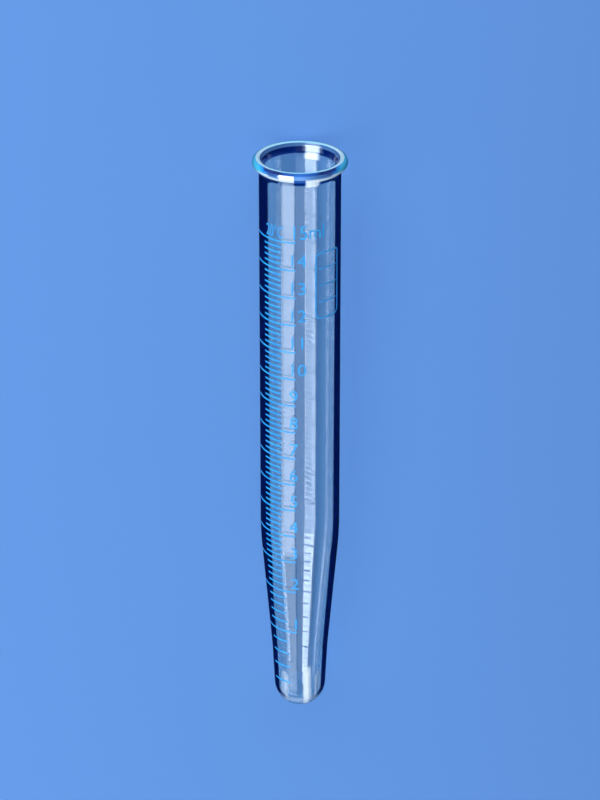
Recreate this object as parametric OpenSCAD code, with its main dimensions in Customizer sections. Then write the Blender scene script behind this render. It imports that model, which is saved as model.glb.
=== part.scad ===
// Graduated centrifuge tube of clear glass, 15 ml: beaded mouth, straight body,
// slender cone and round tip, with a fired enamel scale. It lies on its side,
// on its rim and on the lower end of its body, with the scale facing up.

/* [Body] */
// Length from the round tip to the crest of the rim
tube_len = 128.4; // [120:0.1:140]
// Outer diameter of the straight body
body_d = 16.8; // [15.6:0.1:18]
// Wall thickness of the straight body
wall = 1.2; // [1.1:0.05:1.5]

/* [Rim] */
// How far the bead stands out beyond the body
rim_out = 1.35; // [1.2:0.05:1.8]
// Thickness of the fire-polished bead
bead_d = 2.06; // [1.6:0.02:2.2]
// Radius of the fillet between the bead and the body
neck_r = 2; // [1:0.1:4]
// Radius of the flare inside the mouth
flare_r = 6; // [3:0.5:10]

/* [Cone] */
// Slope of the cone's side against the axis, in degrees
cone_angle = 4.95; // [4:0.05:7]
// Radius of the soft shoulder between the body and the cone
shoulder_r = 84; // [20:1:120]
// Height of the slimmer nose at the bottom of the cone
nose_h = 15; // [12:0.5:20]
// Slope of the nose's side against the axis, in degrees
nose_angle = 3; // [1:0.1:3.8]
// Radius of the bend between the cone and the nose
nose_r = 60; // [10:1:100]
// Diameter of the round tip
tip_d = 11; // [10:0.1:12]
// Wall thickness at the tip's sides, reached evenly from the shoulder down
tip_wall = 1.75; // [1.2:0.05:2.2]
// Thickness of the glass under the lowest point of the bore
floor_t = 2; // [1.2:0.1:3]

/* [Scale] */
// Volume of the highest line, in millilitres
capacity = 15; // [10:1:15]
// Volume between two lines, in millilitres
division = 0.2; // [0.2,0.5,1]
// Width of a line
line_w = 0.3; // [0.2:0.05:0.5]
// Thickness of the fired enamel
enamel_t = 0.05; // [0.03:0.01:0.1]
// Angle that a whole-millilitre line spans round the tube
long_arc = 74; // [40:1:120]
// Length of the short lines between them
short_len = 4.5; // [2:0.1:8]
// Where the lines have their middle, counted from the top of the lying tube
scale_at = 43; // [0:1:90]

/* [Hidden] */

arc_gap = 0.04;            // farthest that a straight step strays from its arc
seam_at = 22.5;            // where the turned glass starts, counted from its underside
long_every = 1;            // a long line at each whole millilitre
ml = 1000;                 // cubic millimetres
tiny = 0.001;              // a difference that counts as none

body_r = body_d / 2;
bore_r = body_r - wall;
tip_r = tip_d / 2;
tip_bore_r = tip_r - tip_wall;
bead_r = bead_d / 2;

// Bead: a ring of round section, tangent to the neck fillet and to the flare
bead_c = [body_r + rim_out - bead_r, tube_len - bead_r];
neck_c = [
    body_r + neck_r,
    bead_c[1] - leg(neck_r + bead_r, body_r + neck_r - bead_c[0])
];
flare_c = [
    bore_r + flare_r,
    bead_c[1] - leg(flare_r - bead_r, bore_r + flare_r - bead_c[0])
];
neck_turn = bearing(bead_c, neck_c);
flare_turn = bearing(flare_c, bead_c);

// Cone and nose: corners of the outside, from the axis up to the body
nose_out = tip_r / cos(nose_angle) + (nose_h - tip_r) * tan(nose_angle);
shoulder_h = nose_h + (body_r - nose_out) / tan(cone_angle);
tip_corner = tip_r * tan((90 - nose_angle) / 2);
skirt_corners = [
    [0, 0],
    [tip_corner, 0],
    [nose_out, nose_h],
    [body_r, shoulder_h],
    [body_r, neck_c[1]]
];
skirt_bends = [0, tip_r, nose_r, shoulder_r, 0];

// Bore: the same corners, moved in by a wall that thickens towards the tip
nose_in = nose_out - wall_at(nose_h);
tip_bore_c = [0, floor_t + tip_bore_r];
bore_slope = tangent_slope(tip_bore_c, tip_bore_r, [nose_in, nose_h]);
bore_corners = [
    [0, floor_t],
    [tip_bore_r * tan((90 - bore_slope) / 2), floor_t],
    [nose_in, nose_h],
    [bore_r, shoulder_h],
    [bore_r, flare_c[1]]
];
bore_bends = [0, tip_bore_r, nose_r, shoulder_r, 0];

skirt = rounded(skirt_corners, skirt_bends);
bore = rounded(bore_corners, bore_bends);
mouth = concat(
    arc(neck_c, neck_r, 180, neck_turn + 180),
    arc(bead_c, bead_r, neck_turn, flare_turn),
    arc(flare_c, flare_r, flare_turn, 180)
);

// Volume of the bore below each of its points, and the outside as a table
bore_volumes = [
    for (i = 0, v = 0; i < len(bore);
         v = v + (i + 1 < len(bore) ? frustum(bore[i], bore[i + 1]) : 0), i = i + 1) v
];
outside = [for (p = skirt) [p[1], p[0]]];
neck_top = neck_c[1] - line_w;

// Rest: the line that touches the bead's ring and the shoulder's arc
shoulder_c = [
    body_r - shoulder_r,
    shoulder_h + shoulder_r * tan(cone_angle / 2)
];
rest_gap = [bead_c[1] - shoulder_c[1], bead_c[0] - shoulder_c[0]];
rest_tilt = atan2(rest_gap[1], rest_gap[0]) - asin((shoulder_r - bead_r) / norm(rest_gap));
rest_lift = bead_c[0] * cos(rest_tilt) - bead_c[1] * sin(rest_tilt) + bead_r;
rear_x = tip_r * cos(rest_tilt) - tip_r;
front_x = bead_c[1] * cos(rest_tilt) + bead_c[0] * sin(rest_tilt) + bead_r;

// Third side of a right triangle, from its longest side and one other
function leg(longest, other) = sqrt(longest * longest - other * other);

// Direction from one point to another, in degrees
function bearing(from, to) = atan2(to[1] - from[1], to[0] - from[0]);

// Slope against the axis of the side that leaves a ball and passes a point
function tangent_slope(c, r, p) =
    acos(r / norm(p - c)) - atan2(p[1] - c[1], p[0] - c[0]);

// Wall of the cone: it grows evenly from the shoulder to the middle of the tip
function wall_at(h) =
    wall + (tip_wall - wall) * (shoulder_h - h) / (shoulder_h - tip_r);

// Points of an arc, both ends included
function arc(c, r, from, to) =
    let (steps = max(2, ceil(abs(to - from) / 2 / acos(1 - arc_gap / r))))
    [for (i = [0:steps]) let (a = from + (to - from) * i / steps)
        c + r * [cos(a), sin(a)]];

// A corner replaced by an arc of radius r that touches both of its sides
function bend(before, corner, after, r) =
    let (
        in = (corner - before) / norm(corner - before),
        out = (after - corner) / norm(after - corner),
        turn = atan2(in[0] * out[1] - in[1] * out[0], in * out),
        side = sign(turn),
        start = corner - in * r * tan(abs(turn) / 2),
        c = start + side * r * [-in[1], in[0]],
        from = bearing(c, start)
    )
    arc(c, r, from, from + turn);

// A line of corners with its inner corners rounded; a radius of 0 leaves one sharp
function rounded(corners, radii) = [
    for (i = [0:len(corners) - 1])
        for (p = radii[i] == 0
            ? [corners[i]]
            : bend(corners[i - 1], corners[i], corners[i + 1], radii[i])) p
];

// Volume swept by a straight stretch of the bore
function frustum(a, b) =
    PI * (b[1] - a[1]) * (a[0] * a[0] + a[0] * b[0] + b[0] * b[0]) / 3;

// Height to which a volume v fills the stretch from a to b
function fill(a, b, v) =
    let (k = (b[0] - a[0]) / (b[1] - a[1]))
    abs(k) < tiny
        ? a[1] + v / (PI * a[0] * a[0])
        : a[1] + (pow(pow(a[0], 3) + 3 * k * v / PI, 1 / 3) - a[0]) / k;

// Height of the line for a volume v, read from the bore itself
function level(v) =
    let (i = max([for (j = [0:len(bore) - 2]) if (bore_volumes[j] <= v) j]))
    fill(bore[i], bore[i + 1], v - bore_volumes[i]);

// Lays the upright tube down on its rim and its shoulder, centred over the origin
module lay_down() {
    translate([-(rear_x + front_x) / 2, 0, rest_lift])
        rotate([0, -rest_tilt, 0])
            rotate([0, 90, 0])
                children();
}

// One line of the scale: a band on the outside, over a part of the circle
module line(h, span) {
    low = h - line_w / 2;
    high = h + line_w / 2;
    r_low = lookup(low, outside);
    r_high = lookup(high, outside);
    rotate([0, 0, 180 - scale_at - span / 2])
        rotate_extrude(angle = span, $fn = 96)
            polygon([
                [r_low, low],
                [r_low + enamel_t, low],
                [r_high + enamel_t, high],
                [r_high, high]
            ]);
}

module glass_tube() {
    color("lightskyblue", 0.45)
        lay_down()
            rotate([0, 0, seam_at])
                rotate_extrude($fn = 96)
                    polygon(concat(skirt, mouth, [for (i = [len(bore) - 1:-1:0]) bore[i]]));
}

module printed_scale() {
    color("deepskyblue")
        lay_down()
            for (i = [1:round(capacity / division)]) {
                v = i * division;
                h = level(v * ml);
                is_long = abs(v / long_every - round(v / long_every)) < tiny;
                short_arc = short_len / lookup(h, outside) * 180 / PI;
                if (h < neck_top) line(h, is_long ? long_arc : short_arc);
            }
}

glass_tube();
printed_scale();
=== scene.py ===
import math
import bmesh
import bpy
from mathutils import Matrix, Vector


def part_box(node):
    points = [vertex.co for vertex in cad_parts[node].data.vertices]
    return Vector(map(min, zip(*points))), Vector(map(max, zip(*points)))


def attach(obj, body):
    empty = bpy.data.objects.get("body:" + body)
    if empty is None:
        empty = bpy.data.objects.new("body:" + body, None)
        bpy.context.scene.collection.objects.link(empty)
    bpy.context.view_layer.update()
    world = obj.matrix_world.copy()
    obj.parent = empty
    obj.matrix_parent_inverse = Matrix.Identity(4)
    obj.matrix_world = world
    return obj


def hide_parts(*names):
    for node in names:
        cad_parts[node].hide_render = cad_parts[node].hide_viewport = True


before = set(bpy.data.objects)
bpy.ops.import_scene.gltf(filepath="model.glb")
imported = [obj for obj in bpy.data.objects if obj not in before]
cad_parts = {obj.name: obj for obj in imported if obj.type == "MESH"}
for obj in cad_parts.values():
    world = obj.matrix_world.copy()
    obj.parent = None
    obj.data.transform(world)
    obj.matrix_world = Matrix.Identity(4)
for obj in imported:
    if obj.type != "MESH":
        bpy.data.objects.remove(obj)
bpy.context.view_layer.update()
scene = bpy.context.scene
print("tube frame loaded")

mm = 0.001


# drawing helpers work in the tube's own upright frame: (radius, height) in millimetres

def bearing(a, b):
    return math.atan2(b[1] - a[1], b[0] - a[0])


def arcPoints(centre, radius, start, end, stepDegrees):
    steps = max(3, math.ceil(abs(end - start) / math.radians(stepDegrees)))
    return [(centre[0] + radius * math.cos(start + (end - start) * i / steps),
             centre[1] + radius * math.sin(start + (end - start) * i / steps))
            for i in range(steps + 1)]


def roundedLine(corners, bends, stepDegrees):
    # corners of a profile, each one with a bend radius replaced by an arc that touches both sides
    line = []
    for i, (corner, radius) in enumerate(zip(corners, bends)):
        if not radius:
            line.append(corner)
            continue
        here = Vector(corner)
        into = (here - Vector(corners[i - 1])).normalized()
        out = (Vector(corners[i + 1]) - here).normalized()
        turn = math.atan2(into.x * out.y - into.y * out.x, into.dot(out))
        start = here - into * radius * math.tan(abs(turn) / 2)
        side = math.copysign(1, turn)
        centre = start + side * radius * Vector((-into.y, into.x))
        first = bearing(centre, start)
        step = min(stepDegrees, math.degrees(abs(turn)) / 6)
        line += arcPoints(centre, radius, first, first + turn, step)
    return line


def heldEnds(line, hold):
    # a point close to both ends of each long straight stretch keeps the smooth shading true
    samePoint, longStretch = 1e-4, 6 * hold
    out = [line[0]]
    for a, b in zip(line, line[1:]):
        a, b = Vector(a), Vector(b)
        if (b - a).length < samePoint:
            continue
        if (b - a).length > longStretch:
            way = (b - a).normalized() * hold
            out += [tuple(a + way), tuple(b - way)]
        out.append(tuple(b))
    return out


def radiusAt(line, height):
    for a, b in zip(line, line[1:]):
        if a[1] <= height <= b[1] and b[1] > a[1]:
            return a[0] + (b[0] - a[0]) * (height - a[1]) / (b[1] - a[1])
    return line[-1][0]


# the glass tube: drawn body, slender cone, fire-polished bead

tubeForm = {
    "length": 128.4, "bodyDiameter": 16.8, "wall": 1.2,
    "rimStandsOut": 1.35, "beadThickness": 2.06, "neckBend": 2.0, "flareBend": 6.0,
    "coneAngle": 4.95, "shoulderBend": 84.0,
    "noseHeight": 15.0, "noseAngle": 3.0, "noseBend": 60.0,
    "tipDiameter": 11.0, "tipWall": 1.75, "floorThickness": 2.0,
    "turns": 288, "arcStep": 6.0, "hold": 0.12,
}


def tubeProfile(form):
    bodyR = form["bodyDiameter"] / 2
    boreR = bodyR - form["wall"]
    tipR = form["tipDiameter"] / 2
    tipBoreR = tipR - form["tipWall"]
    beadR = form["beadThickness"] / 2
    neckR, flareR = form["neckBend"], form["flareBend"]
    cone, nose = math.radians(form["coneAngle"]), math.radians(form["noseAngle"])
    step = form["arcStep"]

    beadC = (bodyR + form["rimStandsOut"] - beadR, form["length"] - beadR)
    across = bodyR + neckR - beadC[0]
    neckC = (bodyR + neckR, beadC[1] - math.sqrt((neckR + beadR) ** 2 - across ** 2))
    across = boreR + flareR - beadC[0]
    flareC = (boreR + flareR, beadC[1] - math.sqrt((flareR - beadR) ** 2 - across ** 2))
    neckTurn, flareTurn = bearing(beadC, neckC), bearing(flareC, beadC)

    noseOut = tipR / math.cos(nose) + (form["noseHeight"] - tipR) * math.tan(nose)
    shoulder = form["noseHeight"] + (bodyR - noseOut) / math.tan(cone)
    skirt = roundedLine(
        [(0, 0), (tipR * math.tan((math.pi / 2 - nose) / 2), 0), (noseOut, form["noseHeight"]),
         (bodyR, shoulder), (bodyR, neckC[1])],
        [0, tipR, form["noseBend"], form["shoulderBend"], 0], step)

    thicker = (form["tipWall"] - form["wall"]) / (shoulder - tipR)
    noseIn = noseOut - form["wall"] - thicker * (shoulder - form["noseHeight"])
    ballC = (0, form["floorThickness"] + tipBoreR)
    reach = math.hypot(noseIn, form["noseHeight"] - ballC[1])
    slope = math.acos(tipBoreR / reach) - bearing(ballC, (noseIn, form["noseHeight"]))
    bore = roundedLine(
        [(0, form["floorThickness"]),
         (tipBoreR * math.tan((math.pi / 2 - slope) / 2), form["floorThickness"]),
         (noseIn, form["noseHeight"]), (boreR, shoulder), (boreR, flareC[1])],
        [0, tipBoreR, form["noseBend"], form["shoulderBend"], 0], step)

    mouth = (arcPoints(neckC, neckR, math.pi, neckTurn + math.pi, step)
             + arcPoints(beadC, beadR, neckTurn, flareTurn, step)
             + arcPoints(flareC, flareR, flareTurn, math.pi, step / 2))

    # how the tube lies: on the ring of its bead and on the lower end of its body
    shoulderC = (bodyR - form["shoulderBend"],
                 shoulder + form["shoulderBend"] * math.tan(cone / 2))
    gap = (beadC[1] - shoulderC[1], beadC[0] - shoulderC[0])
    tilt = math.atan2(gap[1], gap[0]) - math.asin(
        (form["shoulderBend"] - beadR) / math.hypot(*gap))
    lift = beadC[0] * math.cos(tilt) - beadC[1] * math.sin(tilt) + beadR
    return skirt, mouth, bore, tilt, lift


skirt, mouth, bore, restTilt, restLift = tubeProfile(tubeForm)
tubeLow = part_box("glass_tube")[0]
tipBack = tubeForm["tipDiameter"] / 2 * mm * (1 - math.cos(restTilt))
layDown = (Matrix.Translation((tubeLow.x + tipBack, 0, restLift * mm))
           @ Matrix.Rotation(math.pi / 2 - restTilt, 4, "Y") @ Matrix.Scale(mm, 4))
tubeAxis = Vector((math.cos(restTilt), 0, math.sin(restTilt)))
tubeUp = Vector((-math.sin(restTilt), 0, math.cos(restTilt)))


def turnProfile(name, line, turns):
    # a lathe round the height axis; points on the axis are single poles
    onAxis = 1e-6
    verts, rows, faces = [], [], []
    for radius, height in line:
        if radius < onAxis:
            rows.append([len(verts)])
            verts.append((0, 0, height))
        else:
            rows.append(list(range(len(verts), len(verts) + turns)))
            verts += [(radius * math.cos(2 * math.pi * i / turns),
                       radius * math.sin(2 * math.pi * i / turns), height)
                      for i in range(turns)]
    for low, high in zip(rows, rows[1:]):
        for i in range(turns):
            j = (i + 1) % turns
            if len(low) == 1:
                faces.append((low[0], high[j], high[i]))
            elif len(high) == 1:
                faces.append((low[i], low[j], high[0]))
            else:
                faces.append((low[i], low[j], high[j], high[i]))
    mesh = bpy.data.meshes.new(name)
    mesh.from_pydata(verts, [], faces)
    mesh.shade_smooth()
    obj = bpy.data.objects.new(name, mesh)
    scene.collection.objects.link(obj)
    return obj


wholeLine = skirt[:-1] + mouth + bore[-2::-1]
tubeGlass = turnProfile("tubeGlass", heldEnds(wholeLine, tubeForm["hold"]), tubeForm["turns"])
tubeGlass.data.transform(layDown)
shaped = bmesh.new()
shaped.from_mesh(tubeGlass.data)
bmesh.ops.recalc_face_normals(shaped, faces=shaped.faces)
shaped.to_mesh(tubeGlass.data)
shaped.free()
print("glass turned:", len(tubeGlass.data.polygons), "faces")


# the printed scale: a line for each step of volume in the bore

enamelPrint = {
    "capacity": 15.0, "division": 0.2, "lineWidth": 0.36,
    "thickness": 0.04, "sunk": 0.01,
    "longArc": 74.0, "shortLength": 4.5, "scaleAt": 43.0, "segments": 25,
}


def levelHeights(line, form):
    # heights at which the bore holds each printed volume, added up in thin slices
    slices, cubicMmInMl, slack = 40, 1000, 0.01
    marks, volume, wanted = [], 0.0, form["division"]
    for a, b in zip(line, line[1:]):
        if b[1] <= a[1]:
            continue
        for i in range(slices):
            low = a[1] + (b[1] - a[1]) * i / slices
            high = a[1] + (b[1] - a[1]) * (i + 1) / slices
            r0, r1 = radiusAt(line, low), radiusAt(line, high)
            part = math.pi * (high - low) * (r0 * r0 + r0 * r1 + r1 * r1) / 3 / cubicMmInMl
            while volume + part >= wanted and wanted < form["capacity"] + slack:
                marks.append(low + (high - low) * (wanted - volume) / part)
                wanted += form["division"]
            volume += part
    return marks


levels = levelHeights(bore, enamelPrint)


def addSocket(tree, name, kind, default=None, way="INPUT"):
    socket = tree.interface.new_socket(name=name, in_out=way, socket_type=kind)
    if default is not None:
        socket.default_value = default
    return socket.identifier


def buildScaleTree(form):
    tree = bpy.data.node_groups.new("enamelScaleLines", "GeometryNodeTree")
    keys = {"Lines": addSocket(tree, "Lines", "NodeSocketGeometry")}
    addSocket(tree, "Scale", "NodeSocketGeometry", way="OUTPUT")
    for name, value in (("Line width", form["lineWidth"]), ("Thickness", form["thickness"]),
                        ("Sunk", form["sunk"]), ("Middle angle", 0.0)):
        keys[name] = addSocket(tree, name, "NodeSocketFloat", value)
    keys["Segments"] = addSocket(tree, "Segments", "NodeSocketInt", form["segments"])
    keys["Enamel"] = addSocket(tree, "Enamel", "NodeSocketMaterial")

    def node(kind, **values):
        made = tree.nodes.new(kind)
        for key, value in values.items():
            setattr(made, key, value)
        return made

    def join(a, b):
        tree.links.new(a, b)

    def calc(operation, a, b):
        made = node("ShaderNodeMath", operation=operation)
        for slot, value in zip(made.inputs, (a, b)):
            if isinstance(value, (int, float)):
                slot.default_value = value
            else:
                join(value, slot)
        return made.outputs[0]

    def read(name):
        made = node("GeometryNodeInputNamedAttribute", data_type="FLOAT")
        made.inputs["Name"].default_value = name
        return made.outputs["Attribute"]

    source = node("NodeGroupInput").outputs
    strip = node("GeometryNodeMeshCube")
    strip.inputs["Size"].default_value = (1, 1, 1)
    strip.inputs["Vertices Y"].default_value = 2
    strip.inputs["Vertices Z"].default_value = 2
    join(source["Segments"], strip.inputs["Vertices X"])
    place = node("GeometryNodeStoreNamedAttribute", data_type="FLOAT_VECTOR", domain="POINT")
    place.inputs["Name"].default_value = "stripPlace"
    join(strip.outputs["Mesh"], place.inputs["Geometry"])
    join(node("GeometryNodeInputPosition").outputs[0], place.inputs["Value"])

    lay = node("GeometryNodeInstanceOnPoints")
    join(source["Lines"], lay.inputs["Points"])
    join(place.outputs[0], lay.inputs["Instance"])
    real = node("GeometryNodeRealizeInstances")
    join(lay.outputs[0], real.inputs[0])

    placeRead = node("GeometryNodeInputNamedAttribute", data_type="FLOAT_VECTOR")
    placeRead.inputs["Name"].default_value = "stripPlace"
    split = node("ShaderNodeSeparateXYZ")
    join(placeRead.outputs["Attribute"], split.inputs[0])
    along = calc("MULTIPLY", split.outputs["X"], read("lineSpan"))
    angle = calc("ADD", along, source["Middle angle"])
    up = calc("MULTIPLY", split.outputs["Y"], source["Line width"])
    height = calc("ADD", read("lineHeight"), up)
    deep = calc("MULTIPLY", calc("ADD", split.outputs["Z"], 0.5),
                calc("ADD", source["Thickness"], source["Sunk"]))
    radius = calc("ADD", read("lineRadius"), calc("MULTIPLY", up, read("lineSlope")))
    radius = calc("ADD", radius, calc("SUBTRACT", deep, source["Sunk"]))
    spot = node("ShaderNodeCombineXYZ")
    join(calc("MULTIPLY", radius, calc("COSINE", angle, 0.0)), spot.inputs["X"])
    join(calc("MULTIPLY", radius, calc("SINE", angle, 0.0)), spot.inputs["Y"])
    join(height, spot.inputs["Z"])
    move = node("GeometryNodeSetPosition")
    join(real.outputs[0], move.inputs["Geometry"])
    join(spot.outputs[0], move.inputs["Position"])
    paint = node("GeometryNodeSetMaterial")
    join(move.outputs[0], paint.inputs["Geometry"])
    join(source["Enamel"], paint.inputs["Material"])
    join(paint.outputs[0], node("NodeGroupOutput").inputs[0])
    return tree, keys


def makeScaleLines(form, enamel):
    points = bpy.data.meshes.new("scaleSeeds")
    points.from_pydata([(0, 0, h) for h in levels], [], [])
    rows = {"lineHeight": [], "lineRadius": [], "lineSlope": [], "lineSpan": []}
    perMl = round(1 / form["division"])
    probe = 0.1                # height over which the glass's slope is read
    for i, height in enumerate(levels):
        radius = radiusAt(skirt, height)
        isLong = (i + 1) % perMl == 0
        rows["lineHeight"].append(height)
        rows["lineRadius"].append(radius)
        rows["lineSlope"].append((radiusAt(skirt, height + probe) - radius) / probe)
        rows["lineSpan"].append(math.radians(form["longArc"]) if isLong
                                else form["shortLength"] / radius)
    for name, values in rows.items():
        points.attributes.new(name, "FLOAT", "POINT").data.foreach_set("value", values)
    seeds = bpy.data.objects.new("scaleSeeds", points)
    scene.collection.objects.link(seeds)
    tree, keys = buildScaleTree(form)
    lines = seeds.modifiers.new("scaleLines", "NODES")
    lines.node_group = tree
    lines[keys["Middle angle"]] = math.pi - math.radians(form["scaleAt"])
    lines[keys["Enamel"]] = enamel
    bpy.context.view_layer.update()
    mesh = bpy.data.meshes.new_from_object(
        seeds.evaluated_get(bpy.context.evaluated_depsgraph_get()))
    seeds.modifiers.remove(lines)
    bpy.data.objects.remove(seeds)
    for attribute in [a.name for a in mesh.attributes if a.name.startswith(("line", "strip"))]:
        mesh.attributes.remove(mesh.attributes[attribute])
    mesh.transform(layDown)
    obj = bpy.data.objects.new("scaleLines", mesh)
    scene.collection.objects.link(obj)
    return obj


# the figures and a plain frame for notes, wrapped onto the glass

figures = {
    "height": 2.7, "wide": 1.03, "startAngle": -16.0, "pairAngle": -17.6, "above": 0.8,
    "topText": "15ml", "topHeight": 2.95, "topWide": 0.89, "topAngle": -14.4,
    "warmthText": "20°C", "warmthHeight": 2.5, "warmthWide": 0.6, "warmthAngle": -54.3,
    "warmthAbove": 0.7, "sliceWidth": 0.3, "weld": 0.0005,
}

noteFrame = {
    "middleAngle": 43.5, "width": 6.4, "low": 95.6, "high": 110.4,
    "corner": 1.2, "lineWidth": 0.3, "rules": 3, "ruleWidth": 0.24, "ruleMargin": 0.9,
}


def flatText(words, height, wide):
    curve = bpy.data.curves.new("figure", "FONT")
    curve.body = words
    curve.size = 1.0
    curve.resolution_u = 3
    obj = bpy.data.objects.new("figure", curve)
    scene.collection.objects.link(obj)
    bpy.context.view_layer.update()
    mesh = bpy.data.meshes.new_from_object(
        obj.evaluated_get(bpy.context.evaluated_depsgraph_get()))
    bpy.data.objects.remove(obj)
    capital = 0.69             # a figure's height in the built-in font, at size 1
    scale = height / capital
    mesh.transform(Matrix.Diagonal((scale * wide, scale, 1, 1)))
    return mesh


def wrapOnGlass(target, mesh, height, angle):
    # slices a flat drawing upright, bends it round the tube and gives it the enamel's thickness
    flat = bmesh.new()
    flat.from_mesh(mesh)
    bmesh.ops.remove_doubles(flat, verts=flat.verts, dist=figures["weld"])
    xs = [v.co.x for v in flat.verts]
    cut = min(xs) + figures["sliceWidth"]
    while cut < max(xs):
        bmesh.ops.bisect_plane(flat, geom=flat.verts[:] + flat.edges[:] + flat.faces[:],
                               plane_co=(cut, 0, 0), plane_no=(1, 0, 0))
        cut += figures["sliceWidth"]
    ys = [v.co.y for v in flat.verts]
    middle = height + (min(ys) + max(ys)) / 2
    bend = radiusAt(skirt, middle)
    bmesh.ops.recalc_face_normals(flat, faces=flat.faces)
    for face in flat.faces:
        if face.normal.z < 0:
            face.normal_flip()
    top = {}
    base = {}
    for v in flat.verts:
        h = height + v.co.y
        r = radiusAt(skirt, h)
        a = math.pi + math.radians(angle) + v.co.x / bend
        for rows, lift in ((top, enamelPrint["thickness"]), (base, -enamelPrint["sunk"])):
            rows[v] = target.verts.new(((r + lift) * math.cos(a), (r + lift) * math.sin(a), h))
    for face in flat.faces:
        target.faces.new([top[v] for v in face.verts])
        target.faces.new([base[v] for v in reversed(face.verts)])
    for edge in flat.edges:
        if edge.is_boundary:
            loop = edge.link_loops[0]
            a, b = loop.vert, loop.link_loop_next.vert
            target.faces.new((top[b], top[a], base[a], base[b]))
    flat.free()


def roundedBox(width, height, corner, lineWidth):
    # a flat ring: a box outline with round corners
    mesh = bpy.data.meshes.new("noteOutline")
    rings, steps = [], 6
    for inset in (0, lineWidth):
        ring = []
        for sx, sy, start in ((1, 1, 0), (-1, 1, 90), (-1, -1, 180), (1, -1, 270)):
            cx = sx * (width / 2 - corner)
            cy = height / 2 + sy * (height / 2 - corner)
            for i in range(steps + 1):
                a = math.radians(start + 90 * i / steps)
                ring.append((cx + (corner - inset) * math.cos(a),
                             cy + (corner - inset) * math.sin(a), 0))
        rings.append(ring)
    count = len(rings[0])
    faces = [(i, (i + 1) % count, count + (i + 1) % count, count + i) for i in range(count)]
    mesh.from_pydata(rings[0] + rings[1], [], faces)
    return mesh


def flatBar(left, right, low, lineWidth):
    mesh = bpy.data.meshes.new("noteRule")
    mesh.from_pydata([(left, low, 0), (right, low, 0),
                      (right, low + lineWidth, 0), (left, low + lineWidth, 0)],
                     [], [(0, 1, 2, 3)])
    return mesh


def makeFigures(enamel):
    sheet = bmesh.new()
    perMl = round(1 / enamelPrint["division"])
    for ml in range(1, round(enamelPrint["capacity"])):
        line = levels[ml * perMl - 1]
        angle = figures["pairAngle" if ml > 9 else "startAngle"]
        wrapOnGlass(sheet, flatText(str(ml), figures["height"], figures["wide"]),
                    line + figures["above"], angle)
    last = levels[-1]
    wrapOnGlass(sheet, flatText(figures["topText"], figures["topHeight"], figures["topWide"]),
                last + figures["above"], figures["topAngle"])
    wrapOnGlass(sheet,
                flatText(figures["warmthText"], figures["warmthHeight"], figures["warmthWide"]),
                last + figures["warmthAbove"], figures["warmthAngle"])
    note = noteFrame
    tall = note["high"] - note["low"]
    wrapOnGlass(sheet, roundedBox(note["width"], tall, note["corner"], note["lineWidth"]),
                note["low"], note["middleAngle"])
    half = note["width"] / 2 - note["ruleMargin"]
    for i in range(note["rules"]):
        low = tall * (i + 1) / (note["rules"] + 1)
        wrapOnGlass(sheet, flatBar(-half, half, low, note["ruleWidth"]),
                    note["low"], note["middleAngle"])
    mesh = bpy.data.meshes.new("scaleFigures")
    sheet.to_mesh(mesh)
    sheet.free()
    mesh.transform(layDown)
    mesh.materials.append(enamel)
    obj = bpy.data.objects.new("scaleFigures", mesh)
    scene.collection.objects.link(obj)
    return obj


def newMaterial(name):
    material = bpy.data.materials.new(name)
    material.use_nodes = True
    nodes, links = material.node_tree.nodes, material.node_tree.links
    return material, nodes, links, nodes["Principled BSDF"], nodes["Material Output"]


def shaderTools(nodes, links):
    # ways to add a step of arithmetic, on numbers or on vectors, and a soft step from 0 to 1
    def calc(operation, *values):
        made = nodes.new("ShaderNodeMath")
        made.operation = operation
        for slot, value in zip(made.inputs, values):
            if isinstance(value, (int, float)):
                slot.default_value = value
            else:
                links.new(value, slot)
        return made.outputs[0]

    def vector(operation, *values, result="Vector"):
        made = nodes.new("ShaderNodeVectorMath")
        made.operation = operation
        for slot, value in zip(made.inputs, values):
            if isinstance(value, Vector):
                slot.default_value = value
            else:
                links.new(value, slot)
        return made.outputs[result]

    def fade(value, low, high):
        made = nodes.new("ShaderNodeMapRange")
        made.interpolation_type = "SMOOTHSTEP"
        made.inputs["From Min"].default_value = low
        made.inputs["From Max"].default_value = high
        links.new(value, made.inputs["Value"])
        return made.outputs["Result"]

    return calc, vector, fade


def mixColours(nodes, links, share, first, second):
    made = nodes.new("ShaderNodeMix")
    made.data_type = "RGBA"
    for slot, value in (("A", first), ("B", second)):
        if isinstance(value, tuple):
            made.inputs[slot].default_value = (*value, 1)
        else:
            links.new(value, made.inputs[slot])
    links.new(share, made.inputs["Factor"])
    return made.outputs["Result"]


def passShadowLight(nodes, links, glass, out, colour):
    # lamps shine on through the glass instead of leaving a solid shadow
    ray = nodes.new("ShaderNodeLightPath")
    through = nodes.new("ShaderNodeBsdfTransparent")
    through.inputs["Color"].default_value = (*colour, 1)
    mix = nodes.new("ShaderNodeMixShader")
    links.new(ray.outputs["Is Shadow Ray"], mix.inputs["Fac"])
    links.new(glass.outputs["BSDF"], mix.inputs[1])
    links.new(through.outputs["BSDF"], mix.inputs[2])
    links.new(mix.outputs["Shader"], out.inputs["Surface"])


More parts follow.
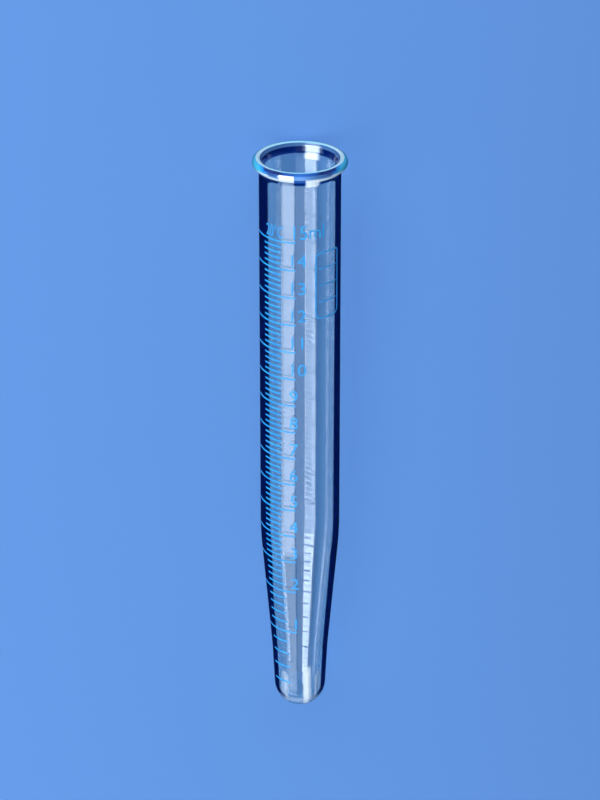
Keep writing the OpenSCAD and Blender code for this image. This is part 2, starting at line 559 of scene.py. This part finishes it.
clearGlass = {
    "tint": (0.985, 0.99, 0.992), "ior": 1.473, "shadow": (0.985, 0.99, 0.995),
    "coatIor": 1.75, "outerCoat": 0.45, "outwardFull": 1.0,
    # painted shade along the long edges: dark tint, where it begins by facing, and how it widens
    # on the body
    "edge": (0.00003, 0.0007, 0.022), "edgeFrom": 0.50, "edgeTo": 0.54,
    "edgeWiden": 0.055, "edgeBias": 0.06, "coneEdge": 25.0, "bodyEdge": 45.0,
    "sideFrom": 0.4, "sideTo": 0.65, "tipFrom": -0.6, "tipTo": -0.25,
    # painted shade in a dark ring under the bead: tints, heights, and gaps as (middle, half
    # width)
    "neck": (0.001, 0.09, 0.36), "nearNeck": (125.4, 126.9),
    "nearGaps": ((2.75, 1.5), (-2.56, 1.4)),
    "farNeckShade": (0.0001, 0.006, 0.09), "farNeck": (126.3, 127.7), "farGaps": ((-2.56, 1.4),),
    "ringSoft": 0.15,
    # painted light: a blue tone on the upper side of the round end
    "tipLightTint": (0.04, 0.22, 0.53), "tipLightReach": (-3.0, 2.9), "tipLightShare": 0.85, "tipLightSoft": 0.2,
    "tipLightFrom": 0.0, "tipLightTo": 0.6,
    # faint draw marks
    "markStrength": 0.02, "markDepth": 0.2, "markScale": (6, 1500, 1500), "markDetail": 2.0,
}

# painted highlights: whitish gleams where the glass would gather light: low and high end, middle
# and half width across the tube, and how dense
gleams = {
    "colour": (0.93, 0.98, 1.0), "endSoft": 0.15, "sideSoft": 0.5,
    "near": ((-0.5, 11.0, -1.35, 0.6, 0.7), (3.0, 9.5, -3.35, 0.25, 0.3),
             (0.5, 9.5, 2.9, 0.4, 0.25), (125.0, 126.9, -2.38, 1.1, 0.75)),
    "far": ((125.1, 126.5, -2.45, 1.3, 0.7), (126.75, 127.9, -2.56, 1.6, 0.7)),
}

# heights between which the bore mirrors more, where its walls are thick and close together, or
# not at all, in the flare of the mouth
boreParts = {
    "neckBore": {"from": 126.2, "to": 127.8, "coatIor": 1.0, "farOnly": False},
    "coneBore": {"from": 9.5, "to": 37.0, "coatIor": 2.7, "farOnly": True},
    "tipBore": {"from": 5.5, "to": 9.5, "coatIor": 3.0, "farOnly": True},
    "floorBore": {"from": 0.0, "to": 5.5, "coatIor": 1.3, "farOnly": False},
}

# parts of the bead, by the direction they face: 0 is straight out, 90 is towards the mouth;
# each has its tints, painted highlights, painted reflections and painted shade, from the top of
# the lying ring (0) to its sides (1)
beadGlass = {
    "parts": {
        "lip": {"from": 72.0, "to": 118.0, "clear": 0.05, "coatIor": 1.5, "tints": (
            (0.0, (0.48, 0.92, 1.0)), (0.6, (0.55, 0.96, 1.0)), (0.95, (0.8, 1.0, 1.0)))},
        "band": {"from": 30.0, "to": 72.0, "clear": 0.12, "coatIor": 2.2, "tints": (
            (0.0, (0.03, 0.2, 0.7)), (0.3, (0.01, 0.12, 0.5)), (0.5, (0.0, 0.02, 0.18)),
            (0.8, (0.0, 0.03, 0.25)), (0.88, (0.01, 0.4, 1.0)), (0.97, (0.1, 0.72, 1.0)))},
        "glow": {"from": 0.0, "to": 30.0, "clear": 0.12, "coatIor": 2.4, "tints": (
            (0.0, (0.14, 0.4, 0.95)), (0.45, (0.07, 0.2, 0.5)), (0.7, (0.02, 0.1, 0.35)),
            (0.82, (0.01, 0.32, 0.9)), (0.95, (0.06, 0.72, 1.0)))},
        "shine": {"from": -16.0, "to": 0.0, "clear": 0.12, "coatIor": 2.4, "tints": (
            (0.0, (0.2, 0.42, 0.8)), (0.45, (0.1, 0.27, 0.6)), (0.7, (0.12, 0.3, 0.6)),
            (0.78, (0.85, 0.95, 1.0)), (0.9, (0.6, 0.85, 1.0)), (1.0, (0.15, 0.8, 1.0)))},
        "under": {"from": -44.0, "to": -16.0, "clear": 0.15, "coatIor": 2.0, "tints": (
            (0.0, (0.004, 0.1, 0.45)), (0.4, (0.004, 0.1, 0.45)),
            (0.47, (0.85, 0.95, 1.0)), (1.0, (0.85, 0.95, 1.0)))},
        "glint": {"from": -75.0, "to": -44.0, "clear": 0.0, "coatIor": 1.0, "tints": (
            (0.0, (0.004, 0.1, 0.5)), (0.4, (0.01, 0.12, 0.5)),
            (0.47, (0.85, 0.95, 1.0)), (1.0, (0.85, 0.95, 1.0)))},
    },
    "glintLow": 126.3, "inside": (0.085, 0.19, 0.4), "roughness": 0.02,
    "cloud": 0.06, "cloudScale": 300.0, "cloudDetail": 2.0,
    # painted reflections of the soft box, as bright patches: middle, half width, and the facing
    # up to which parts have them
    "patches": ((2.75, 1.5, 30), (-2.56, 1.4, -16)), "patchTint": (0.95, 1.0, 1.0),
    "patchSoft": 0.2,
    "slack": 1.01,             # how far from its own circle a face still counts as the bead's
}


def makeClearGlass(name, look, coatIor, paintedGleams):
    material, nodes, links, glass, out = newMaterial(name)
    glass.inputs["Roughness"].default_value = 0.0
    glass.inputs["IOR"].default_value = look["ior"]
    glass.inputs["Coat IOR"].default_value = coatIor
    glass.inputs["Coat Roughness"].default_value = 0.0
    calc, vector, fade = shaderTools(nodes, links)

    def within(value, low, high, soft):
        fromMiddle = calc("ABSOLUTE", calc("SUBTRACT", value, (low + high) / 2 * mm))
        half = (high - low) / 2 * mm
        return fade(fromMiddle, half * (1 + soft), half * (1 - soft))

    place = nodes.new("ShaderNodeTexCoord")
    edge = nodes.new("ShaderNodeLayerWeight")
    edge.inputs["Blend"].default_value = 0.5
    fromTip = vector("SUBTRACT", place.outputs["Object"], layDown @ Vector((0, 0, 0)))
    height = vector("DOT_PRODUCT", fromTip, tubeAxis, result="Value")
    endwise = vector("DOT_PRODUCT", place.outputs["Normal"], tubeAxis, result="Value")

    # painted shade: near its long edges the outer face is painted dark, as a ray that meets it
    # there runs round in the wall and comes out dark
    sideways = fade(calc("ABSOLUTE", endwise), 1 - look["sideFrom"], 1 - look["sideTo"])
    facing = vector("DOT_PRODUCT", place.outputs["Normal"], fromTip, result="Value")
    outward = calc("SUBTRACT", facing, calc("MULTIPLY", endwise, height))
    outer = fade(outward, 0, look["outwardFull"] * mm)
    inner = calc("SUBTRACT", 1.0, outer)
    links.new(calc("SUBTRACT", 1.0, calc("MULTIPLY", outer, 1 - look["outerCoat"])),
              glass.inputs["Coat Weight"])
    across = nodes.new("ShaderNodeSeparateXYZ")
    links.new(place.outputs["Normal"], across.inputs[0])
    widen = calc("ADD", look["edgeWiden"],
                 calc("MULTIPLY", across.outputs["Y"], look["edgeBias"]))
    onBody = fade(height, look["coneEdge"] * mm, look["bodyEdge"] * mm)
    grazing = calc("ADD", edge.outputs["Facing"], calc("MULTIPLY", widen, onBody))
    side = calc("MULTIPLY", fade(grazing, look["edgeFrom"], look["edgeTo"]),
                calc("MULTIPLY", sideways, outer))
    side = calc("MULTIPLY", side, fade(endwise, look["tipFrom"], look["tipTo"]))

    # painted shade: a dark ring under the bead, where the hollow turns rays away sooner, but for
    # gaps where light comes through; in the far wall that shows a little nearer to the mouth
    spot = nodes.new("ShaderNodeSeparateXYZ")
    links.new(place.outputs["Object"], spot.inputs[0])

    def beside(middle, half, soft):
        return within(spot.outputs["Y"], middle - half, middle + half, soft)

    def neckRing(reach, wall, gaps):
        ring = calc("MULTIPLY", within(height, *reach, look["ringSoft"]), wall)
        for gap in gaps:
            ring = calc("MULTIPLY", ring, calc("SUBTRACT", 1.0, beside(*gap, look["ringSoft"])))
        return ring

    colour = mixColours(nodes, links, neckRing(look["nearNeck"], outer, look["nearGaps"]),
                        look["tint"], look["neck"])
    colour = mixColours(nodes, links, neckRing(look["farNeck"], inner, look["farGaps"]),
                        colour, look["farNeckShade"])
    colour = mixColours(nodes, links, side, colour, look["edge"])

    # painted light: a mostly opaque blue tone on the upper side of the thick round end, where it
    # gathers some light
    tipPaintedLight = calc("MULTIPLY", within(height, *look["tipLightReach"], look["tipLightSoft"]),
                calc("MULTIPLY", outer, look["tipLightShare"]))
    tipPaintedLight = calc("MULTIPLY", tipPaintedLight, fade(across.outputs["Z"], look["tipLightFrom"], look["tipLightTo"]))
    colour = mixColours(nodes, links, tipPaintedLight, colour, look["tipLightTint"])
    # painted highlights: whitish gleams on the near and the far wall; where light is painted, the
    # glass is less clear
    paintedLight = tipPaintedLight
    for wall, spots in ((outer, paintedGleams["near"]), (inner, paintedGleams["far"])):
        for low, high, middle, half, share in spots:
            patch = calc("MULTIPLY", within(height, low, high, paintedGleams["endSoft"]),
                         beside(middle, half, paintedGleams["sideSoft"]))
            gleam = calc("MULTIPLY", calc("MULTIPLY", patch, wall), share)
            colour = mixColours(nodes, links, gleam, colour, paintedGleams["colour"])
            paintedLight = calc("MAXIMUM", paintedLight, gleam)
    links.new(colour, glass.inputs["Base Color"])
    links.new(calc("SUBTRACT", 1.0, paintedLight), glass.inputs["Transmission Weight"])

    # faint draw marks along the tube
    squeeze = nodes.new("ShaderNodeMapping")
    squeeze.inputs["Rotation"].default_value = (0, restTilt, 0)
    squeeze.inputs["Scale"].default_value = look["markScale"]
    marks = nodes.new("ShaderNodeTexNoise")
    marks.inputs["Scale"].default_value = 1.0
    marks.inputs["Detail"].default_value = look["markDetail"]
    bump = nodes.new("ShaderNodeBump")
    bump.inputs["Strength"].default_value = look["markStrength"]
    bump.inputs["Distance"].default_value = look["markDepth"] * mm
    links.new(place.outputs["Object"], squeeze.inputs["Vector"])
    links.new(squeeze.outputs["Vector"], marks.inputs["Vector"])
    links.new(marks.outputs["Fac"], bump.inputs["Height"])
    links.new(bump.outputs["Normal"], glass.inputs["Normal"])

    passShadowLight(nodes, links, glass, out, look["shadow"])
    return material


def beadRing(form):
    # radius and height of the ring on which the bead's round section is centred
    radius = form["bodyDiameter"] / 2 + form["rimStandsOut"] - form["beadThickness"] / 2
    return radius, form["length"] - form["beadThickness"] / 2


def makeBeadGlass(name, part, look, plain):
    # the melted bead is thick; bands of painted highlight and painted shade, mostly opaque, over
    # a little clear glass
    material, nodes, links, glass, out = newMaterial(name)
    glass.inputs["Transmission Weight"].default_value = part["clear"]
    glass.inputs["Roughness"].default_value = look["roughness"]
    glass.inputs["IOR"].default_value = plain["ior"]
    glass.inputs["Coat Weight"].default_value = 1.0
    glass.inputs["Coat IOR"].default_value = part["coatIor"]
    glass.inputs["Coat Roughness"].default_value = 0.0

    calc, vector, fade = shaderTools(nodes, links)
    place = nodes.new("ShaderNodeTexCoord")
    spot = nodes.new("ShaderNodeSeparateXYZ")
    links.new(place.outputs["Object"], spot.inputs[0])
    aside = calc("DIVIDE", calc("ABSOLUTE", spot.outputs["Y"]), beadRing(tubeForm)[0] * mm)
    ramp = nodes.new("ShaderNodeValToRGB")
    ramp.color_ramp.interpolation = "EASE"
    stops = ramp.color_ramp.elements
    while len(stops) < len(part["tints"]):
        stops.new(1.0)
    for stop, (where, tint) in zip(stops, part["tints"]):
        stop.position = where
        stop.color = (*tint, 1)
    links.new(aside, ramp.inputs["Fac"])

    cloud = nodes.new("ShaderNodeTexNoise")
    cloud.inputs["Scale"].default_value = look["cloudScale"]
    cloud.inputs["Detail"].default_value = look["cloudDetail"]
    links.new(place.outputs["Object"], cloud.inputs["Vector"])
    haze = calc("MULTIPLY", cloud.outputs["Fac"], look["cloud"])
    colour = mixColours(nodes, links, haze, ramp.outputs["Color"], plain["tint"])

    # two painted reflections of the soft box: bright patches in the hollow under the bead
    soft = look["patchSoft"] / 2
    for middle, half, highest in look["patches"]:
        if part["to"] <= highest:
            fromMiddle = calc("ABSOLUTE", calc("SUBTRACT", spot.outputs["Y"], middle * mm))
            patch = fade(fromMiddle, (half + soft) * mm, (half - soft) * mm)
            colour = mixColours(nodes, links, patch, colour, look["patchTint"])
    # seen from inside the glass the bead is painted a dim blue: painted shade in place of its
    # bands
    ray = nodes.new("ShaderNodeNewGeometry")
    colour = mixColours(nodes, links, ray.outputs["Backfacing"], colour, look["inside"])
    links.new(colour, glass.inputs["Base Color"])
    passShadowLight(nodes, links, glass, out, plain["shadow"])
    return material


blueEnamel = {
    "azure": (0.018, 0.33, 0.76), "thin": (0.04, 0.42, 0.8), "azureTo": 0.4, "thinFrom": 0.65,
    "patchScale": 900.0, "patchDetail": 3.0, "roughness": 0.32, "grain": 0.15, "grainDepth": 0.03,
}


def makeBlueEnamel(look):
    material, nodes, links, enamel, out = newMaterial("blueEnamel")
    place = nodes.new("ShaderNodeTexCoord")
    patches = nodes.new("ShaderNodeTexNoise")
    patches.inputs["Scale"].default_value = look["patchScale"]
    patches.inputs["Detail"].default_value = look["patchDetail"]
    ramp = nodes.new("ShaderNodeValToRGB")
    for stop, where, tint in zip(ramp.color_ramp.elements, ("azureTo", "thinFrom"),
                                 ("azure", "thin")):
        stop.position = look[where]
        stop.color = (*look[tint], 1)
    bump = nodes.new("ShaderNodeBump")
    bump.inputs["Strength"].default_value = look["grain"]
    bump.inputs["Distance"].default_value = look["grainDepth"] * mm
    links.new(place.outputs["Object"], patches.inputs["Vector"])
    links.new(patches.outputs["Fac"], ramp.inputs["Fac"])
    links.new(ramp.outputs["Color"], enamel.inputs["Base Color"])
    links.new(patches.outputs["Fac"], bump.inputs["Height"])
    links.new(bump.outputs["Normal"], enamel.inputs["Normal"])
    enamel.inputs["Roughness"].default_value = look["roughness"]
    return material


def paintBead(obj, form, look):
    # the bead's faces are those on its own ring, told apart by the way they look out of it
    ringR, ringH = beadRing(form)
    upright = layDown.inverted()
    for face in obj.data.polygons:
        spot = upright @ face.center
        out, up = math.hypot(spot.x, spot.y) - ringR, spot.z - ringH
        facing = math.degrees(math.atan2(up, out))
        onBead = math.hypot(out, up) <= form["beadThickness"] / 2 * look["slack"]
        if not onBead and (spot.z < look["glintLow"] or facing < look["parts"]["glint"]["from"]
                           or facing > look["parts"]["glint"]["to"]):
            continue
        for index, part in enumerate(look["parts"].values(), 1):
            if part["from"] <= facing < part["to"]:
                face.material_index = index


def paintBore(obj, parts, firstIndex):
    # faces of the bore look towards the axis
    upright = layDown.inverted()
    turned = upright.to_3x3()
    for face in obj.data.polygons:
        spot, way = upright @ face.center, turned @ face.normal
        if spot.x * way.x + spot.y * way.y > 0:
            continue
        for index, part in enumerate(parts.values(), firstIndex):
            if part["from"] < spot.z < part["to"] and (spot.x > 0 or not part["farOnly"]):
                face.material_index = index


blueEnamelMaterial = makeBlueEnamel(blueEnamel)
glasses = tubeGlass.data.materials
glasses.append(makeClearGlass("clearGlass", clearGlass, clearGlass["coatIor"], gleams))
for name, part in beadGlass["parts"].items():
    glasses.append(makeBeadGlass(name + "Glass", part, beadGlass, clearGlass))
paintBead(tubeGlass, tubeForm, beadGlass)
boreIndex = len(glasses)
for name, part in boreParts.items():
    glasses.append(makeClearGlass(name + "Glass", clearGlass, part["coatIor"], gleams))
paintBore(tubeGlass, boreParts, boreIndex)
scaleLines = makeScaleLines(enamelPrint, blueEnamelMaterial)
scaleFigures = makeFigures(blueEnamelMaterial)
print("enamel laid:", len(levels), "lines,", len(scaleFigures.data.polygons), "figure faces")

for piece, slot in ((tubeGlass, "clear_glass"), (scaleLines, "blue_enamel"),
                    (scaleFigures, "blue_enamel")):
    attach(piece, "root")
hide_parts("glass_tube")
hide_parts("printed_scale")
print("glass and enamel on the frame")


# the studio: floor, world, three long soft boxes over the tube and two fills at its ends
studio = {
    "floor": (0.124, 0.266, 0.57), "floorSize": 6.0, "floorRoughness": 0.75,
    "horizon": (0.122, 0.3, 0.7), "litFrom": 0.16, "litTo": 0.3,
    "seenThrough": (0.1, 0.232, 0.46), "mirrored": (0.001, 0.005, 0.035),
    "ceilingFrom": 0.12, "ceilingTo": 0.45,
    "worldLight": (0.92, 0.96, 1.0), "worldStrength": 0.12,
    "lightColour": (0.74, 0.87, 1.0), "lightAway": 0.6,
}

# angles from straight over the tube towards +Y, and reach along it from its middle, in metres
mainPanel = {"from": 16.0, "to": 54.0, "start": -0.47, "end": 0.6, "radiance": 3.6}
dimPanel = {"from": 16.0, "to": 60.0, "start": -0.9, "end": -0.47, "radiance": 1.6}
overPanel = {"from": -14.0, "to": 16.0, "start": -0.47, "end": 0.3, "radiance": 0.4}

# two more fill in before the mouth and behind the tip: rise is counted from the tube's axis
mouthFill = {"from": -40.0, "to": 40.0, "rise": 20.0, "tall": 0.45, "radiance": 2.0}
tipFill = {"from": -40.0, "to": 40.0, "rise": 164.0, "tall": 0.34, "radiance": 3.2}


def makeFloor(look):
    half = look["floorSize"] / 2
    mesh = bpy.data.meshes.new("studioFloor")
    mesh.from_pydata([(-half, -half, 0), (half, -half, 0), (half, half, 0), (-half, half, 0)],
                     [], [(0, 1, 2, 3)])
    obj = bpy.data.objects.new("studioFloor", mesh)
    scene.collection.objects.link(obj)
    material, nodes, links, paint, out = newMaterial("paleFloor")
    calc, vector, fade = shaderTools(nodes, links)
    paint.inputs["Roughness"].default_value = look["floorRoughness"]
    paint.inputs["Specular IOR Level"].default_value = 0.0
    ray = nodes.new("ShaderNodeLightPath")
    seen = mixColours(nodes, links, ray.outputs["Is Glossy Ray"], look["floor"],
                      look["mirrored"])
    seen = mixColours(nodes, links, ray.outputs["Is Transmission Ray"], seen,
                      look["seenThrough"])
    links.new(seen, paint.inputs["Base Color"])

    # beyond the reach of the lamps the floor keeps its colour up to the horizon
    place = nodes.new("ShaderNodeTexCoord")
    away = vector("LENGTH", place.outputs["Object"], result="Value")
    distant = fade(away, look["litFrom"], look["litTo"])
    glow = nodes.new("ShaderNodeEmission")
    glow.inputs["Color"].default_value = (*look["horizon"], 1)
    mix = nodes.new("ShaderNodeMixShader")
    links.new(calc("MULTIPLY", distant, ray.outputs["Is Camera Ray"]), mix.inputs["Fac"])
    links.new(paint.outputs["BSDF"], mix.inputs[1])
    links.new(glow.outputs["Emission"], mix.inputs[2])
    links.new(mix.outputs["Shader"], out.inputs["Surface"])
    mesh.materials.append(material)
    return obj


floor = makeFloor(studio)


def makeWorld(look):
    # soft light all round; behind glass and in reflections the studio is dim, darkest overhead
    world = bpy.data.worlds.new("studioWorld")
    world.use_nodes = True
    scene.world = world
    nodes, links = world.node_tree.nodes, world.node_tree.links
    calc = shaderTools(nodes, links)[0]
    soft = nodes["Background"]
    soft.inputs["Color"].default_value = (*look["worldLight"], 1)
    soft.inputs["Strength"].default_value = look["worldStrength"]
    ray = nodes.new("ShaderNodeLightPath")
    way = nodes.new("ShaderNodeTexCoord")
    split = nodes.new("ShaderNodeSeparateXYZ")
    rise = nodes.new("ShaderNodeMapRange")
    rise.inputs["From Min"].default_value = look["ceilingFrom"]
    rise.inputs["From Max"].default_value = look["ceilingTo"]
    links.new(way.outputs["Generated"], split.inputs[0])
    links.new(split.outputs["Z"], rise.inputs["Value"])
    behind = mixColours(nodes, links, rise.outputs["Result"], look["seenThrough"],
                        look["mirrored"])
    colour = mixColours(nodes, links, ray.outputs["Is Glossy Ray"], look["horizon"],
                        look["mirrored"])
    colour = mixColours(nodes, links, ray.outputs["Is Transmission Ray"], colour, behind)
    seen = nodes.new("ShaderNodeBackground")
    links.new(colour, seen.inputs["Color"])
    share = ray.outputs["Is Camera Ray"]
    for name in ("Is Transmission Ray", "Is Glossy Ray"):
        share = calc("MAXIMUM", share, ray.outputs[name])
    mix = nodes.new("ShaderNodeMixShader")
    links.new(share, mix.inputs["Fac"])
    links.new(soft.outputs[0], mix.inputs[1])
    links.new(seen.outputs[0], mix.inputs[2])
    links.new(mix.outputs[0], nodes["World Output"].inputs["Surface"])


makeWorld(studio)


def addSoftBox(name, towards, centre, sizes, radiance, look):
    # a flat soft box that faces the tube; its first size runs along the tube
    data = bpy.data.lights.new(name, "AREA")
    data.shape = "RECTANGLE"
    data.color = look["lightColour"]
    data.size, data.size_y = sizes
    # radiance of an area light is its power over pi times its area
    data.energy = radiance * math.pi * data.size * data.size_y
    obj = bpy.data.objects.new(name, data)
    scene.collection.objects.link(obj)
    obj.location = centre + towards * look["lightAway"]
    side = towards.cross(tubeAxis).normalized()
    turned = Matrix((side.cross(towards), side, towards)).transposed()
    obj.rotation_euler = turned.to_euler()
    obj.visible_camera = False
    return obj


def panelAim(panel, look):
    # middle direction of a panel's angles, and how wide it is at its distance
    low, high = math.radians(panel["from"]), math.radians(panel["to"])
    middle = (low + high) / 2
    over = tubeUp * math.cos(middle) + Vector((0, 1, 0)) * math.sin(middle)
    return over, 2 * look["lightAway"] * math.tan((high - low) / 2)


for name, panel in (("mainPanel", mainPanel), ("dimPanel", dimPanel),
                    ("overPanel", overPanel)):
    over, wide = panelAim(panel, studio)
    addSoftBox(name, over, tubeAxis * (panel["start"] + panel["end"]) / 2,
               (panel["end"] - panel["start"], wide), panel["radiance"], studio)
for name, panel in (("mouthFill", mouthFill), ("tipFill", tipFill)):
    over, wide = panelAim(panel, studio)
    rise = math.radians(panel["rise"])
    fill = addSoftBox(name, tubeAxis * math.cos(rise) + over * math.sin(rise),
                      Vector((0, 0, 0)), (panel["tall"], wide), panel["radiance"], studio)
    # the fills light the painted parts but aren't seen in the glass
    fill.visible_glossy = False
    fill.visible_transmission = False
print("studio lit")


# the camera, placed from the crest of the rim
cameraPlace = {
    "above": 626.95, "pastMouth": 251.4, "lean": 26.04, "lens": 149.4, "sensor": 36,
    "clipStart": 0.05, "clipEnd": 20,
}


def makeCamera(place):
    data = bpy.data.cameras.new("tubeCamera")
    data.lens = place["lens"]
    data.sensor_width = place["sensor"]
    data.clip_start, data.clip_end = place["clipStart"], place["clipEnd"]
    obj = bpy.data.objects.new("tubeCamera", data)
    scene.collection.objects.link(obj)
    crest = layDown @ Vector((0, 0, tubeForm["length"]))
    obj.location = crest + (tubeAxis * place["pastMouth"] + tubeUp * place["above"]) * mm
    lean = math.radians(place["lean"])
    back = tubeAxis * math.sin(lean) + tubeUp * math.cos(lean)
    top = tubeAxis * math.cos(lean) - tubeUp * math.sin(lean)
    turned = Matrix((top.cross(back), top, back)).transposed()
    obj.rotation_euler = turned.to_euler()
    scene.camera = obj


makeCamera(cameraPlace)
scene.view_settings.view_transform = "Standard"
# light crosses many walls of glass before it reaches the camera
scene.cycles.max_bounces = 32
scene.cycles.transmission_bounces = 32
scene.cycles.glossy_bounces = 12
